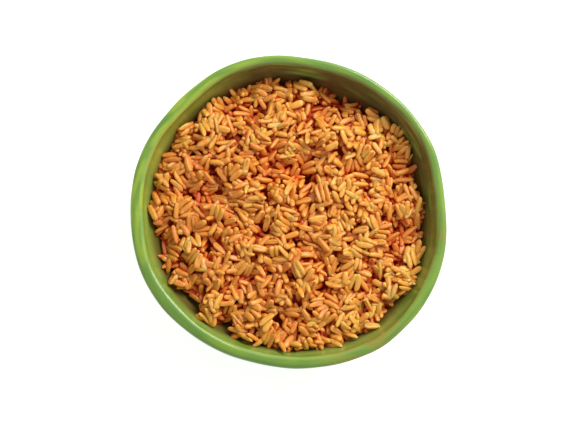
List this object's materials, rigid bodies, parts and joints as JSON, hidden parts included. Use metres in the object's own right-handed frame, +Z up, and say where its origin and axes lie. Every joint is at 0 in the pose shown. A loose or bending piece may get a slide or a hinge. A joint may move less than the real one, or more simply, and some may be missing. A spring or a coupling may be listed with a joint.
{
  "type": "bowl of rice",
  "caption": "Hand-made green glazed bowl, slightly out of round, filled nearly to its lip with loose orange cooked long-grain rice.",
  "frame": {"origin": "middle of the bowl's box, on the surface that the foot stands on", "axes": "+Z up out of the bowl; in the view from above +X is to the right and +Y away from the viewer"},
  "size_m": [0.1644, 0.1636, 0.0636],
  "materials": {
    "green_glaze": "glossy hand-applied glaze, mottled from leaf green to yellow green",
    "cooked_rice": "moist, slightly glossy grains, orange with darker gaps"
  },
  "bodies": {
    "root": {"bowl": "green_glaze", "rice": "cooked_rice"}
  },
  "joints": []
}
